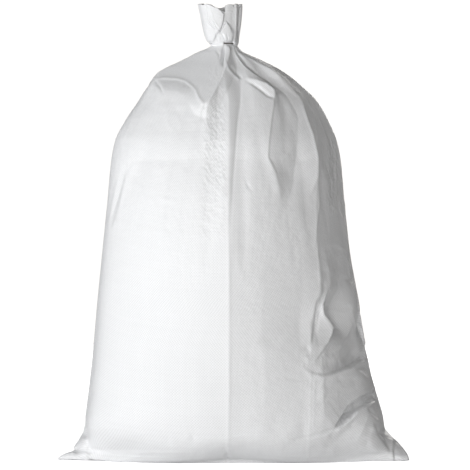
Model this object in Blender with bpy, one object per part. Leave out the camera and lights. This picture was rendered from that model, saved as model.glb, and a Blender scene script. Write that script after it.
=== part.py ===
"""A filled woven sack, tied at the neck: metres, +Z up, front to -Y, origin mid base."""

import math

import bmesh
import bpy
import numpy as np

# The sack laid flat is 0.60 m wide and 0.90 m long, so it is 1.20 m round when it is full.
# Sections of the full sack, from the floor to the neck. Each gives its height, how far it
# reaches to the left, right, front and back of the axis, how pointed its two sides are, and
# how pinched its back is: 1 is an oval, less is squarer.
SECTIONS = [
    # height, left, right, front, back, fin, pinch
    (0.0000, 0.220, 0.226, 0.112, 0.107, 0.0, 0.90),
    (0.0020, 0.262, 0.266, 0.124, 0.119, 0.8, 1.00),
    (0.0075, 0.280, 0.282, 0.134, 0.131, 1.0, 1.00),
    (0.0150, 0.262, 0.270, 0.143, 0.141, 0.8, 0.95),
    (0.0300, 0.252, 0.259, 0.152, 0.154, 0.4, 0.75),
    (0.0550, 0.240, 0.243, 0.160, 0.166, 0.1, 0.62),
    (0.0950, 0.234, 0.233, 0.167, 0.173, 0.0, 0.62),
    (0.1750, 0.225, 0.212, 0.174, 0.178, 0.0, 0.78),
    (0.2550, 0.218, 0.201, 0.177, 0.179, 0.0, 0.92),
    (0.3350, 0.210, 0.186, 0.175, 0.173, 0.0, 1.00),
    (0.4150, 0.202, 0.178, 0.163, 0.155, 0.0, 1.08),
    (0.4790, 0.196, 0.172, 0.145, 0.129, 0.0, 1.20),
    (0.5110, 0.190, 0.166, 0.133, 0.110, 0.0, 1.30),
    (0.5430, 0.175, 0.153, 0.117, 0.090, 0.0, 1.30),
    (0.5750, 0.154, 0.135, 0.098, 0.071, 0.0, 1.25),
    (0.6000, 0.138, 0.110, 0.080, 0.059, 0.0, 1.15),
    (0.6230, 0.118, 0.081, 0.057, 0.047, 0.0, 1.10),
    (0.6410, 0.085, 0.048, 0.037, 0.035, 0.0, 1.00),
    (0.6540, 0.060, 0.019, 0.027, 0.026, 0.0, 1.00),
]
RIGHT_EAR_FORWARD = 0.045  # the right bottom corner is turned this far to the front
MIDDLE_CREASE = -0.007  # x of the press fold down the front
QUARTER_CREASE = 0.131  # x of the fold on the right, where the front turns to the side
# How the front falls back from the middle crease, as shares of its depth: along a straight
# slant, faster past the quarter crease, and round the sides.
SLANT_LEFT, ROUND_LEFT = 0.20, 0.80
SLANT_RIGHT, PAST_QUARTER, ROUND_RIGHT = 0.17, 0.60, 0.50
SIDE_FADE = 0.055  # the folds run out over this depth from the middle of the two sides
BACK_GATHER, FRONT_GATHER = 0.16, 0.05  # size of the small pleats under the wire
FRONT_COLUMNS, BACK_COLUMNS = 80, 34

# The neck, where the wire draws the cloth together, left of the axis.
NECK_X, NECK_Z = -0.0155, 0.6645
NECK_WIDE, NECK_DEEP = 0.0225, 0.0185

# The ruff of gathered cloth above the wire: height above it, half width, half depth, depth
# of the pleats, and how far the ruff leans to the left.
RUFF = [
    (0.007, 0.0245, 0.0205, 0.0022, 0.000),
    (0.018, 0.0280, 0.0240, 0.0034, 0.001),
    (0.034, 0.0305, 0.0265, 0.0044, 0.002),
    (0.052, 0.0325, 0.0280, 0.0050, 0.004),
    (0.063, 0.0335, 0.0290, 0.0052, 0.006),
]
RIM_DROP = 0.005  # the mouth's edge is lower at the front right than at the back left
WALL = 0.0055  # of the bunched layers at the mouth
MOUTH_DEPTH = 0.026
PLEATS = 9
PLEATS_FADE = 0.085  # they run out this far below the neck
PLEATS_START, PLEATS_FULL = 0.08, 0.45  # radians from the folds of the two sides

# Two fans of fold lines on the front, one below the neck and one at the low right. Each line
# is a path of (x, height, depth), named from left to right, and a negative depth is a ridge.
# The cloth lies in flat panels from one line to the next.
SHOULDER_FOLDS = {
    "left_side": [
        (-0.060, 0.652, 0), (-0.117, 0.623, 0.008), (-0.154, 0.575, 0.006), (-0.185, 0.527, 0),
        (-0.205, 0.380, 0),
    ],
    "pocket_floor": [
        (-0.045, 0.652, 0), (-0.070, 0.625, 0.005), (-0.075, 0.597, 0.004), (-0.056, 0.568, 0),
        (-0.054, 0.380, 0),
    ],
    "pocket_ridge": [
        (-0.018, 0.652, -0.002), (-0.018, 0.625, -0.003), (-0.027, 0.594, -0.004),
        (-0.041, 0.556, -0.003), (-0.045, 0.440, 0), (-0.045, 0.380, 0),
    ],
    "middle_ridge": [
        (-0.013, 0.652, -0.002), (-0.013, 0.602, -0.004), (-0.012, 0.506, -0.0025),
        (-0.010, 0.430, -0.001), (-0.008, 0.380, 0),
    ],
    "middle_valley": [
        (-0.004, 0.652, 0.005), (0.004, 0.625, 0.008), (0.010, 0.602, 0.007), (0.012, 0.568, 0.004),
        (0.006, 0.496, 0.002), (0.000, 0.380, 0),
    ],
    "panel_crest": [
        (0.001, 0.652, 0.003), (0.015, 0.625, 0.004), (0.026, 0.602, -0.001), (0.032, 0.569, -0.004),
        (0.031, 0.500, -0.005), (0.027, 0.413, -0.002), (0.026, 0.380, 0),
    ],
    "finger": [
        (0.004, 0.652, 0), (0.016, 0.627, 0.003), (0.039, 0.609, -0.001), (0.065, 0.581, -0.008),
        (0.056, 0.506, -0.009), (0.055, 0.479, -0.009), (0.072, 0.433, -0.005), (0.073, 0.380, 0),
    ],
    "right_valley": [
        (0.007, 0.652, 0.003), (0.021, 0.627, 0.009), (0.046, 0.609, 0.010), (0.079, 0.582, 0.009),
        (0.088, 0.506, 0.012), (0.089, 0.453, 0.011), (0.085, 0.415, 0.002), (0.081, 0.380, 0),
    ],
    "right_ridge": [
        (0.012, 0.652, -0.001), (0.036, 0.635, -0.005), (0.078, 0.609, -0.007),
        (0.105, 0.580, -0.009), (0.124, 0.515, -0.012), (0.132, 0.479, -0.012),
        (0.130, 0.448, -0.009), (0.114, 0.406, 0), (0.112, 0.380, 0),
    ],
    "side_valley": [
        (0.015, 0.652, 0), (0.064, 0.626, 0.002), (0.120, 0.581, 0.007), (0.142, 0.516, 0.011),
        (0.150, 0.480, 0.011), (0.150, 0.448, 0.008), (0.144, 0.410, 0.002), (0.144, 0.380, 0),
    ],
    "right_side": [
        (0.034, 0.652, 0), (0.094, 0.622, 0), (0.138, 0.575, 0), (0.166, 0.515, 0),
        (0.180, 0.380, 0),
    ],
}
LOW_RIGHT_FOLDS = {
    "panel": [(0.102, 0.340, 0), (0.103, 0.010, 0)],
    "quarter_ridge": [
        (0.129, 0.340, 0), (0.132, 0.274, -0.002), (0.121, 0.228, -0.004), (0.119, 0.190, -0.003),
        (0.118, 0.010, 0),
    ],
    "elbow_ridge": [
        (0.141, 0.340, 0), (0.147, 0.277, -0.004), (0.139, 0.254, -0.009), (0.140, 0.242, -0.010),
        (0.148, 0.228, -0.010), (0.154, 0.218, -0.010), (0.151, 0.203, -0.008), (0.143, 0.188, -0.004),
        (0.137, 0.172, -0.001), (0.137, 0.010, 0),
    ],
    "hollow_start": [
        (0.152, 0.340, 0), (0.160, 0.277, 0.005), (0.157, 0.250, 0.010), (0.163, 0.228, 0.012),
        (0.170, 0.212, 0.010), (0.166, 0.195, 0.003), (0.162, 0.175, 0), (0.170, 0.150, 0.001),
        (0.173, 0.010, 0),
    ],
    "hollow": [
        (0.160, 0.340, 0), (0.175, 0.281, 0.010), (0.176, 0.250, 0.019), (0.178, 0.229, 0.020),
        (0.186, 0.198, 0.014), (0.192, 0.176, 0.013), (0.199, 0.160, 0.007), (0.205, 0.144, 0.002),
        (0.203, 0.090, -0.003), (0.206, 0.058, -0.009), (0.215, 0.038, -0.011), (0.228, 0.014, -0.006),
    ],
    "side_floor": [
        (0.171, 0.340, 0), (0.189, 0.280, 0.013), (0.195, 0.238, 0.019), (0.200, 0.209, 0.016),
        (0.206, 0.185, 0.010), (0.212, 0.161, 0.003), (0.219, 0.130, 0), (0.250, 0.010, 0),
    ],
    "outline": [
        (0.182, 0.340, 0), (0.202, 0.224, 0), (0.212, 0.175, 0), (0.239, 0.079, 0),
        (0.266, 0.010, 0),
    ],
}
# Folds of the back, seen from the front too: a path of (x, height), the half width and the depth.
BACK_FOLDS = {
    "back_ridge": ([(-0.010, 0.590), (-0.004, 0.400), (-0.006, 0.030)], 0.022, -0.002),
    "back_valley_left": ([(-0.050, 0.620), (-0.085, 0.550), (-0.090, 0.460)], 0.024, 0.003),
    "back_valley_right": ([(0.020, 0.625), (0.045, 0.550), (0.040, 0.490)], 0.022, 0.003),
}

WIRE = 0.0010  # radius of the tie wire
CLEAR = 0.0004  # between the wire and the cloth
TWIST_TURNS, TWIST_LENGTH, TWIST_RADIUS = 1.5, 0.020, 0.0013


def between(rows, at):
    """A row read at any place in a list of rows, on a curve through them that doesn't overshoot."""
    rows = np.array(rows)
    low = min(max(int(np.searchsorted(rows[:, 0], at) - 1), 0), len(rows) - 2)
    step = np.diff(rows[:, 0])
    slope = np.diff(rows, axis=0) / step[:, None]

    def tangent(k):
        if k == 0 or k == len(rows) - 1:
            return slope[min(k, len(slope) - 1)]
        before, after = slope[k - 1], slope[k]
        both = before * after > 0
        mean = 2 * before * after / np.where(both, before + after, 1)
        return np.where(both, mean, 0)

    h = step[low]
    t = (at - rows[low, 0]) / h
    return (
        (2 * t**3 - 3 * t**2 + 1) * rows[low]
        + (t**3 - 2 * t**2 + t) * h * tangent(low)
        + (3 * t**2 - 2 * t**3) * rows[low + 1]
        + (t**3 - t**2) * h * tangent(low + 1)
    )


def smooth_step(low, high, at):
    t = np.clip((at - low) / (high - low), 0, 1)
    return t * t * (3 - 2 * t)


def pleat(angle):
    """An uneven wave round the neck, from -1 in a valley to 1 on a ridge."""
    drift = 0.5 * np.sin(angle + 0.6) + 0.3 * np.sin(2 * angle + 2.0)
    wave = np.cos(PLEATS * angle + 2.2 * drift)
    return (wave + 0.25 * np.cos(2 * PLEATS * angle + 1.0)) / 1.25


def fan_depth(fan, x, height):
    """How far a fan of fold lines presses in the front at places of one level."""
    lines = []
    for path in fan.values():
        px, pz, depth = np.array(path).T
        lines.append((np.interp(height, pz[::-1], px[::-1]), np.interp(height, pz[::-1], depth[::-1])))
    heights = np.array(path)[:, 1]
    inside = 1.0 if heights.min() < height < heights.max() else 0.0
    total = np.zeros(x.shape)
    for (left, left_depth), (right, right_depth) in zip(lines, lines[1:]):
        t = (x - left) / max(right - left, 1e-6)
        part = (t >= 0) & (t < 1)
        total = np.where(part, left_depth * (1 - t) + right_depth * t, total)
    return total * inside


def soften(values):
    """Rounds the corners of a row of values a little."""
    bell = np.exp(-(np.linspace(-2, 2, 15) ** 2))
    return np.convolve(np.pad(values, 7, mode="edge"), bell / bell.sum(), mode="valid")


def back_depth(x, height):
    """How far the folds of the back press in at places of one level."""
    total = np.zeros(x.shape)
    for path, half, depth in BACK_FOLDS.values():
        path = np.array(path)[::-1]
        middle = np.interp(height, path[:, 1], path[:, 0])
        beyond = max(path[0, 1] - height, height - path[-1, 1], 0)
        total += depth * np.exp(-(((x - middle) / half) ** 2) - (beyond / half) ** 2)
    return total


def front_of(x, left, right, front, height):
    """How far forward the front stands at x: two broad panels that meet at the middle crease."""
    fuller = 1.3 - 0.3 * smooth_step(0.15, 0.35, height)  # the sides bulge more near the floor
    to_left = np.clip((MIDDLE_CREASE - x) / (left + MIDDLE_CREASE), 0, 1)
    to_right = np.clip((x - MIDDLE_CREASE) / (right - MIDDLE_CREASE), 0, 1)
    corner = (QUARTER_CREASE - MIDDLE_CREASE) / (right - MIDDLE_CREASE)
    past = np.clip(to_right - corner, 0, 1)
    round_left = 1 - np.sqrt(1 - to_left ** (2 * fuller))
    round_right = 1 - np.sqrt(1 - to_right ** (2 * fuller))
    falls_left = SLANT_LEFT * to_left + ROUND_LEFT * round_left
    falls_right = SLANT_RIGHT * to_right + PAST_QUARTER * past + ROUND_RIGHT * round_right
    at_the_side = SLANT_RIGHT + PAST_QUARTER * (1 - corner) + ROUND_RIGHT
    falls_right = falls_right * (0.9 + 0.1 * to_right) / at_the_side
    return front * (1 - np.where(x < MIDDLE_CREASE, falls_left, falls_right))


def level(height):
    """One level of the sack: the front from its left side to its right one, then the back."""
    _, left, right, front, back, fin, pinch = between(SECTIONS, height)
    near_neck = smooth_step(NECK_Z - PLEATS_FADE, NECK_Z, height)
    creased = smooth_step(0.02, 0.12, height) * (1 - smooth_step(0.52, 0.62, height))
    halves = []
    for sign, deep, columns in ((-1, front, FRONT_COLUMNS), (1, back, BACK_COLUMNS)):
        turn = np.linspace(0, math.pi, 361)
        across, out = -np.cos(turn), np.sin(turn)
        out[0] = out[-1] = 0
        x = np.where(across > 0, right, left) * across
        shape = (1 + 1.6 * fin) * (pinch if sign > 0 else 1)
        y = sign * deep * out**shape * (1 - 0.15 * fin * across**2)
        if sign < 0:
            y = y * (1 - creased) - front_of(x, left, right, front, height) * creased
            depth = soften(fan_depth(SHOULDER_FOLDS, x, height) + fan_depth(LOW_RIGHT_FOLDS, x, height))
        else:
            depth = back_depth(x, height) * (1 - 0.6 * near_neck)
        y = y - RIGHT_EAR_FORWARD * fin * smooth_step(0.6, 1.0, across)
        centre = NECK_X * near_neck
        size = np.hypot(x - centre, y) + 1e-9
        angle = np.arctan2(sign * out, across)
        gather = (BACK_GATHER if sign > 0 else FRONT_GATHER) * size * pleat(angle)
        from_side = np.minimum(np.abs(angle), math.pi - np.abs(angle))
        gather = gather * 4 * near_neck * (1 - near_neck) * smooth_step(PLEATS_START, PLEATS_FULL, from_side)
        grow = 1 + gather / size
        pressed = y - sign * depth * smooth_step(0, SIDE_FADE, np.abs(y))
        x, y = centre + (x - centre) * grow, pressed * grow
        along = np.concatenate([[0], np.cumsum(np.hypot(np.diff(x), np.diff(y)))])
        stops = np.linspace(0, along[-1], columns + 1)
        halves.append([(np.interp(s, along, x), np.interp(s, along, y), height) for s in stops])
    return halves[0][:-1] + halves[1][::-1][:-1]


def neck_angles():
    """The angle of each column round the neck: from the left over the front to the right and back."""
    front = [math.pi + math.pi * k / FRONT_COLUMNS for k in range(FRONT_COLUMNS)]
    return front + [math.pi * k / BACK_COLUMNS for k in range(BACK_COLUMNS)]


def ruff_point(row, angle):
    up, wide, deep, pleats, lean = row
    grow = 1 + pleats * pleat(angle) / wide
    x = NECK_X - lean + wide * grow * math.cos(angle)
    y = deep * grow * math.sin(angle)
    drop = RIM_DROP * (up / RUFF[-1][0]) ** 2 * (math.cos(angle + 0.7) + 0.4 * math.cos(3 * angle))
    return x, y, NECK_Z + up - drop


def levels():
    """Every level of the sack from its base to the bottom of its mouth."""
    heights = [0.0, 0.002, 0.0075, 0.015, 0.026, 0.040, 0.055, 0.075]
    heights += list(np.linspace(0.098, 0.490, 19))
    heights += list(np.linspace(0.506, 0.654, 14))
    made = [level(h) for h in heights]
    angles = neck_angles()
    for lift in (-0.0035, 0.0035):
        z = NECK_Z + lift
        made.append([(NECK_X + NECK_WIDE * math.cos(a), NECK_DEEP * math.sin(a), z) for a in angles])
    for row in RUFF:
        made.append([ruff_point(row, a) for a in angles])
    up, wide, deep, pleats, lean = RUFF[-1]
    for down, inward in ((0.0, WALL), (0.5 * MOUTH_DEPTH, 1.8 * WALL), (MOUTH_DEPTH, 3 * WALL)):
        inner_lean = lean * (1 - 0.3 * down / MOUTH_DEPTH)
        inner = (up - down, wide - inward, deep - inward, 0.5 * pleats, inner_lean)
        made.append([ruff_point(inner, a) for a in angles])
    return made


def material(name, colour, roughness, metallic=0.0):
    made = bpy.data.materials.new(name)
    made.use_nodes = True
    shader = made.node_tree.nodes["Principled BSDF"]
    shader.inputs["Base Color"].default_value = (*colour, 1.0)
    shader.inputs["Roughness"].default_value = roughness
    shader.inputs["Metallic"].default_value = metallic
    return made


def add_object(name, data, finish):
    data.materials.append(finish)
    made = bpy.data.objects.new(name, data)
    bpy.context.scene.collection.objects.link(made)
    return made


def make_sack():
    """A sheet rolled round into a tube, drawn to the shape of the full sack and closed at both ends."""
    rings = levels()
    around = len(rings[0])
    bm = bmesh.new()
    bmesh.ops.create_grid(bm, x_segments=around, y_segments=len(rings) - 1, size=1)
    for vert in bm.verts:
        column = round((vert.co.x + 1) / 2 * around)
        row = round((vert.co.y + 1) / 2 * (len(rings) - 1))
        vert.co = rings[row][column % around]
    bmesh.ops.remove_doubles(bm, verts=bm.verts, dist=1e-5)
    bmesh.ops.holes_fill(bm, edges=[edge for edge in bm.edges if edge.is_boundary])
    bmesh.ops.recalc_face_normals(bm, faces=bm.faces)
    mesh = bpy.data.meshes.new("sack")
    bm.to_mesh(mesh)
    bm.free()
    mesh.shade_smooth()
    return add_object("sack", mesh, material("woven_polypropylene", (0.86, 0.87, 0.88), 0.45))


def wire_path():
    """Once round the neck from the back, with both ends twisted together behind it."""
    wide = NECK_WIDE + WIRE + CLEAR
    deep = NECK_DEEP + WIRE + CLEAR
    points = []
    gap = 0.075 * math.pi
    steps = 44
    for k in range(steps + 1):
        angle = math.pi / 2 + gap + (2 * math.pi - 2 * gap) * k / steps
        points.append((NECK_X + wide * math.cos(angle), deep * math.sin(angle), NECK_Z))
    tail = [[], []]
    start = deep * math.cos(gap) + 0.0035
    pieces = 16
    for end in (0, 1):
        for k in range(pieces + 1):
            turn = math.pi * end + 2 * math.pi * TWIST_TURNS * k / pieces
            back = start + TWIST_LENGTH * k / pieces
            x = NECK_X - TWIST_RADIUS * math.cos(turn)
            z = NECK_Z + TWIST_RADIUS * math.sin(turn)
            tail[end].append((x, back, z))
    return tail[0][::-1] + points + tail[1]


def make_tie():
    curve = bpy.data.curves.new("neck_tie", "CURVE")
    curve.dimensions = "3D"
    curve.bevel_depth = WIRE
    curve.bevel_resolution = 2
    curve.use_fill_caps = True
    points = wire_path()
    spline = curve.splines.new("POLY")
    spline.points.add(len(points) - 1)
    for point, place in zip(spline.points, points):
        point.co = (*place, 1.0)
    return add_object("neck_tie", curve, material("tie_wire", (0.16, 0.14, 0.12), 0.5, 0.8))


for old in list(bpy.data.objects):
    bpy.data.objects.remove(old)
make_sack()
make_tie()
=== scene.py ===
import math

import bpy
import numpy as np
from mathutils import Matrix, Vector


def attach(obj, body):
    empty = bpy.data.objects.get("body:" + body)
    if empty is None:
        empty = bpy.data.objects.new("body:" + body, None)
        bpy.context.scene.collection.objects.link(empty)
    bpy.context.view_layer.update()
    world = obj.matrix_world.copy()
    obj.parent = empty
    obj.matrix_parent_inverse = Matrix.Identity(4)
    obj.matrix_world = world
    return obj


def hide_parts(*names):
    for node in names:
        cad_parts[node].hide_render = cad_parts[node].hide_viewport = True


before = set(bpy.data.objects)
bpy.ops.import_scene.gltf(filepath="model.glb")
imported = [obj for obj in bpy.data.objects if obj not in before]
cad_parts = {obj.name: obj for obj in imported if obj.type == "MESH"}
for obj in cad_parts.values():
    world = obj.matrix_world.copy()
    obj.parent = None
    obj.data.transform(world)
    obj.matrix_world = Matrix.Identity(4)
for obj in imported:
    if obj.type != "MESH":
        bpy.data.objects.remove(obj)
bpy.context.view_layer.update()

bpy.ops.object.select_all(action="DESELECT")


# The camera stands in front of the sack, level with its middle, as in the photograph. The
# folds of the front are placed as it sees them, so it comes before the sack.
PIXEL = 0.0016  # metres of sack to a pixel of the photograph, on the plane y = 0
AXIS_COLUMN, FLOOR_ROW = 233.5, 459.5  # where x = 0 and the floor are in the photograph
PICTURE = 470  # pixels along a side of the photograph
EYE_BACK = 3.8  # metres from the camera to the plane y = 0
SENSOR = 36  # mm
EYE_X = (PICTURE / 2 - AXIS_COLUMN) * PIXEL
EYE_Z = (FLOOR_ROW - PICTURE / 2) * PIXEL

bpy.ops.object.camera_add(location=(EYE_X, -EYE_BACK, EYE_Z), rotation=(math.pi / 2, 0, 0))
camera = bpy.context.object
camera.name = "front_camera"
camera.data.sensor_width = SENSOR
camera.data.lens = SENSOR * EYE_BACK / (PICTURE * PIXEL)
bpy.context.scene.camera = camera


def as_seen(x, y, z):
    """Where the camera sees points, moved along its sight lines to the plane y = 0."""
    nearer = EYE_BACK / (EYE_BACK + y)
    return EYE_X + (x - EYE_X) * nearer, EYE_Z + (z - EYE_Z) * nearer


def from_picture(path):
    """A path of (column, row, depth in mm) in the photograph, as (x, z, depth) in metres."""
    return [((c - AXIS_COLUMN) * PIXEL, (FLOOR_ROW - r) * PIXEL, d / 1000) for c, r, d in path]


# The cloth: a tube of white polypropylene tape weave, 0.60 m wide when it is laid flat, with
# its bottom sewn shut. It is drawn first as the full sack stands, level by level, with its
# long folds pressed in, and then relaxed as cloth so that the folds fall as real ones do.
FLAT_WIDE, FLAT_LONG = 0.600, 0.900
FLAT_THICK = 0.001  # between its two layers
RUFF_LONG = 0.075  # of the tube stands above the wire
NECK_X, NECK_Z = -0.0155, 0.6645  # middle of the neck, at the wire
NECK_WIDE, NECK_DEEP = 0.0230, 0.0190  # its half width and half depth
LEFT_EAR, RIGHT_EAR = -0.284, 0.282  # tips of the two bottom corners
LEFT_EAR_FORWARD, RIGHT_EAR_FORWARD = 0.026, 0.045  # how far they point to the front
SEAM_HIGH = 0.0015  # of the sewn bottom above the floor
# Levels of the full sack: height, reach to the left, right, front and back, and how far the
# sides draw out to fins.
LEVELS = [
    (0.0000, 0.220, 0.226, 0.076, 0.085, 0.0),
    (0.0020, 0.281, 0.280, 0.0960, 0.102, 1.0),
    (0.0045, 0.279, 0.280, 0.1080, 0.111, 1.0),
    (0.0075, 0.276, 0.279, 0.1170, 0.120, 1.0),
    (0.0110, 0.269, 0.278, 0.1257, 0.128, 0.9),
    (0.0150, 0.260, 0.276, 0.1338, 0.136, 0.8),
    (0.0210, 0.257, 0.272, 0.1418, 0.142, 0.6),
    (0.0300, 0.252, 0.265, 0.1492, 0.148, 0.4),
    (0.0420, 0.246, 0.255, 0.1545, 0.154, 0.2),
    (0.0550, 0.240, 0.245, 0.1585, 0.158, 0.1),
    (0.0950, 0.234, 0.233, 0.167, 0.167, 0.0),
    (0.1750, 0.225, 0.212, 0.174, 0.174, 0.0),
    (0.2550, 0.218, 0.201, 0.177, 0.177, 0.0),
    (0.3350, 0.210, 0.186, 0.175, 0.174, 0.0),
    (0.4150, 0.202, 0.178, 0.166, 0.160, 0.0),
    (0.4790, 0.196, 0.172, 0.150, 0.139, 0.0),
    (0.5110, 0.190, 0.166, 0.139, 0.122, 0.0),
    (0.5430, 0.175, 0.153, 0.123, 0.103, 0.0),
    (0.5750, 0.154, 0.135, 0.103, 0.087, 0.0),
    (0.6000, 0.138, 0.110, 0.085, 0.074, 0.0),
    (0.6230, 0.118, 0.081, 0.062, 0.058, 0.0),
    (0.6410, 0.085, 0.048, 0.042, 0.041, 0.0),
    (0.6540, 0.060, 0.019, 0.030, 0.029, 0.0),
    (NECK_Z, 0.0391, 0.0081, 0.0191, 0.0191, 0.0),
]
# The long folds of the front: fans of lines, each a path of (column, row, depth in mm) in the
# photograph, named from left to right. The cloth lies in flat panels from line to line, and a
# positive depth is pressed in.
UPPER_FAN = {
    "left_outline": [
        (209, 44, 0), (194, 52, 0), (179, 60, 0), (160, 70, 0), (150, 80, 0), (137, 100, 0), (118, 130, 0),
        (107, 200, 0), (103, 240, 0),
    ],
    "left_panel": [
        (211, 44, 0), (200, 52, 0), (190, 60, 0), (180, 70, 0), (176, 84, 0), (190, 94, -2), (199, 104, -3),
        (203, 110, -2), (200, 130, 0), (198, 240, 0),
    ],
    "pocket_ridge": [
        (216, 44, 0), (222, 52, -2), (222, 66, -3), (216, 85, -4), (209, 100, -4), (207, 108, -3),
        (207, 130, -2), (205, 170, 0), (204, 240, 0),
    ],
    "crumple_valley": [
        (218, 44, 0), (223, 54, 2), (223, 70, 1), (219, 85, 1), (217, 110, 1), (218, 140, 1), (220, 190, 0),
        (224, 240, 0),
    ],
    "stripe_ridge": [
        (224, 44, 0), (226, 54, -3), (225, 66, -3), (225, 80, -2.4), (229, 100, -1.4), (230.5, 126, -1),
        (230.5, 146, -0.8), (230, 177, -0.6), (229.5, 204, -0.4), (228.5, 232, 0), (229, 240, 0),
    ],
    "stripe_slope": [
        (227, 44, 1), (229, 54, 1), (231, 66, 2), (233, 80, 1.6), (236, 101, 0), (235.5, 126, 0),
        (234.5, 146, 0), (232.6, 177, 0), (231.6, 204, 0), (229.5, 232, 0), (229.3, 240, 0),
    ],
    "stripe_valley": [
        (229, 44, 2), (232, 54, 6), (236, 66, 7), (240, 80, 5.6), (241, 101, 2.6), (238, 126, 1.6),
        (236.5, 146, 1.1), (234, 177, 0.8), (233, 201, 0.4), (230.5, 232, 0), (230, 240, 0),
    ],
    "panel_crest": [
        (231, 44, 1), (235, 54, 3), (243, 66, 4), (250, 80, 1), (254, 100, -3), (254, 130, -4),
        (253, 160, -3.6), (251, 200, -2), (250, 234, 0), (250, 240, 0),
    ],
    "fold_edge": [
        (233, 44, 0), (236, 54, 1), (243.5, 65, 3), (252, 72, 1), (258, 76, -1), (264, 80, -3),
        (270, 85, -5), (275, 93, -6.5), (274.5, 105, -6.5), (273, 115, -6.5), (270, 140, -6.5),
        (269, 157, -6.5), (275, 170, -5), (280, 187, -3), (281, 200, 0), (281, 240, 0),
    ],
    "fold_slope": [
        (233.5, 44, 0.5), (237.5, 54, 4), (245.5, 65, 7), (254, 72, 6.5), (260.5, 76, 6), (266.5, 80, 5),
        (273, 85, 3), (279, 93, -1), (280, 105, -3), (281, 115, -3.2), (280, 140, -3), (280, 157, -1.4),
        (284, 170, 2), (285, 187, 1.6), (284, 200, 0.4), (283, 240, 0),
    ],
    "fold_floor": [
        (234, 44, 1), (239, 54, 6), (247, 65, 8), (256, 72, 8), (263, 76, 8), (269, 80, 7), (276, 85, 5),
        (286, 93, 2), (293, 105, 0.5), (298, 115, 0), (298, 140, 1.6), (296, 158, 4.6), (294, 174, 6.4),
        (292, 187, 4.4), (288, 200, 1.4), (286, 210, 0), (286, 240, 0),
    ],
    "right_ridge": [
        (236, 44, 0), (245, 54, -2), (256, 60, -4), (268, 67, -5), (283, 77, -5), (300, 95, -4.6),
        (305, 112, -4.4), (313, 135, -4), (318, 158, -3.6), (317, 178, -3), (310, 193, -1), (306, 205, 0),
        (306, 240, 0),
    ],
    "side_valley": [
        (237.5, 44, 0), (248, 54, 0), (263, 61, 0), (277, 67, 0), (293, 78, 0), (312, 95, 2), (321, 112, 3),
        (330, 135, 3.4), (335, 158, 3.4), (335, 178, 2.4), (332, 193, 1), (330, 215, 0), (330, 240, 0),
    ],
    "right_outline": [
        (238, 44, 0), (254, 52, 0), (274, 62, 0), (292, 71, 0), (304, 81, 0), (320, 100, 0), (335, 130, 0),
        (343, 160, 0), (345, 200, 0), (347, 240, 0),
    ],
}
LOWER_FAN = {
    "start": [(262, 245, 0), (262, 460, 0)],
    "panel": [(300, 245, 0), (300, 285, 4), (300, 330, 6), (300, 400, 5), (300, 460, 1)],
    "quarter_ridge": [
        (317, 245, 0), (319, 290, 3), (315, 305, 3), (312, 320, 3), (311, 345, 4), (311, 380, 5),
        (310, 455, 1),
    ],
    "narrow_valley": [
        (319.5, 245, 0), (321, 290, 6), (319, 297, 9), (316, 309, 11.5), (315.5, 320, 12.5), (317, 334, 11),
        (318, 346, 7), (318, 356, 6), (318, 455, 1),
    ],
    "s_ridge": [
        (324, 245, 0), (328, 288, 3), (324.5, 299, -1), (323.5, 306, -3), (325, 313, -4), (331, 321, -4),
        (334, 327, -4), (332.5, 335, -2), (329, 343, 1), (322, 353, 5), (320, 362, 6), (320, 455, 1),
    ],
    "hollow_start": [
        (331, 245, 1), (333, 270, 7), (334, 284, 14), (330.5, 296, 21), (329, 306, 26), (331, 313, 28),
        (337, 321, 28), (341, 328, 23), (342, 337, 12), (337, 346, 7), (336, 356, 7), (342, 366, 10),
        (346, 375, 5), (346, 455, 2),
    ],
    "hollow": [
        (338, 245, 3), (344, 270, 14), (346, 284, 23), (347, 303, 34), (348, 318, 35), (350, 328, 29),
        (352, 338, 25), (357, 350, 28), (361, 360, 22), (365, 370, 8), (362, 400, 5), (364, 420, -3),
        (368, 436, -9), (380, 455, -5),
    ],
    "side_floor": [
        (343, 245, 4), (351, 270, 15), (354, 284, 23), (358, 312, 32), (361, 330, 28), (364, 345, 23),
        (368, 358, 11), (372, 380, 5), (379, 410, 2), (392, 455, 0),
    ],
    "outline": [
        (348, 245, 0), (357, 280, 10), (361, 320, 16), (366, 350, 12), (371, 362, 5), (375, 385, 0),
        (384, 410, 0), (402, 455, 0),
    ],
}
FRONT_TAPES, BACK_TAPES, RISE_TAPES = 100, 56, 130  # cells of the relaxed cloth
SAMPLES = 721  # points along the front or the back of a level, before they are spaced evenly
FIN_SHARP, FIN_THIN = 1.6, 0.15  # how sharply the sides draw out to fins, and how thin
EARS_FROM = 0.17  # x from which the bottom seam turns forward to its ears
FOLDS_FROM, FOLDS_CALM = 0.015, 0.652  # heights where the fans begin and where they fade
UPPER_FADE, LOWER_FADE = 0.055, 0.030  # how far in front of the side folds a fan is at full depth
PLEATS = 9  # round the neck
PLEATS_LONG = 0.085  # of height under the wire
PLEATS_FRONT, PLEATS_BACK = 0.05, 0.17  # their depth in shares of the way from the middle


def smooth_step(low, high, at):
    """0 at low and 1 at high, which may be the smaller, with an even curve between."""
    t = np.clip((at - low) / (high - low), 0, 1)
    return t * t * (3 - 2 * t)


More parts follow.
